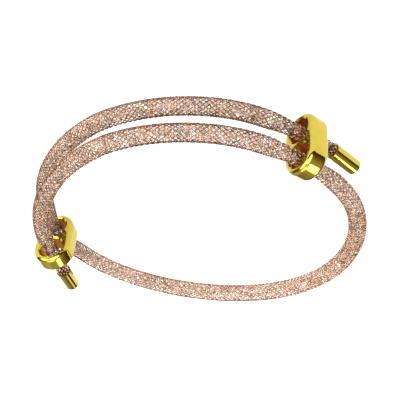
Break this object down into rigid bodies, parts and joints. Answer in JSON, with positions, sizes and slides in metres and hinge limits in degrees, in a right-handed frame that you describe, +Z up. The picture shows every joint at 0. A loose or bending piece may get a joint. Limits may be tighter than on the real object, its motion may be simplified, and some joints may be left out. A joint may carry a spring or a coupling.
{
  "type": "mesh bracelet",
  "caption": "Adjustable bracelet: a woven wire tube filled with small cut crystals, its ends passing through slider beads and closed by plain caps.",
  "frame": {"origin": "on the surface that the bracelet lies on, under the middle of its bounding box", "axes": "+Z up, along the wrist opening; -Y the near side, where two strands run side by side; +X completes the frame"},
  "size_m": [0.0714, 0.0748, 0.0136],
  "materials": {
    "copper_mesh": "woven rose-gold wire, satin",
    "crystal": "clear cut glass",
    "gold": "polished yellow gold plating"
  },
  "bodies": {
    "mesh_tube": {"mesh_sleeve": "copper_mesh", "crystal_fill": "crystal", "end_cap_start": "gold", "end_cap_end": "gold"},
    "slider_start": {"slider_start": "gold"},
    "slider_end": {"slider_end": "gold"}
  },
  "joints": [
    {"name": "slider_start_slide", "type": "hinge", "parent": "mesh_tube", "child": "slider_start", "pos_m": [-0.00033, -0.00151, 0.00679], "axis": [0, 0, 1], "range_deg": [0, 65]},
    {"name": "slider_end_slide", "type": "hinge", "parent": "mesh_tube", "child": "slider_end", "pos_m": [-0.00377, -0.00051, 0.00679], "axis": [0, 0, -1], "range_deg": [0, 60]}
  ]
}
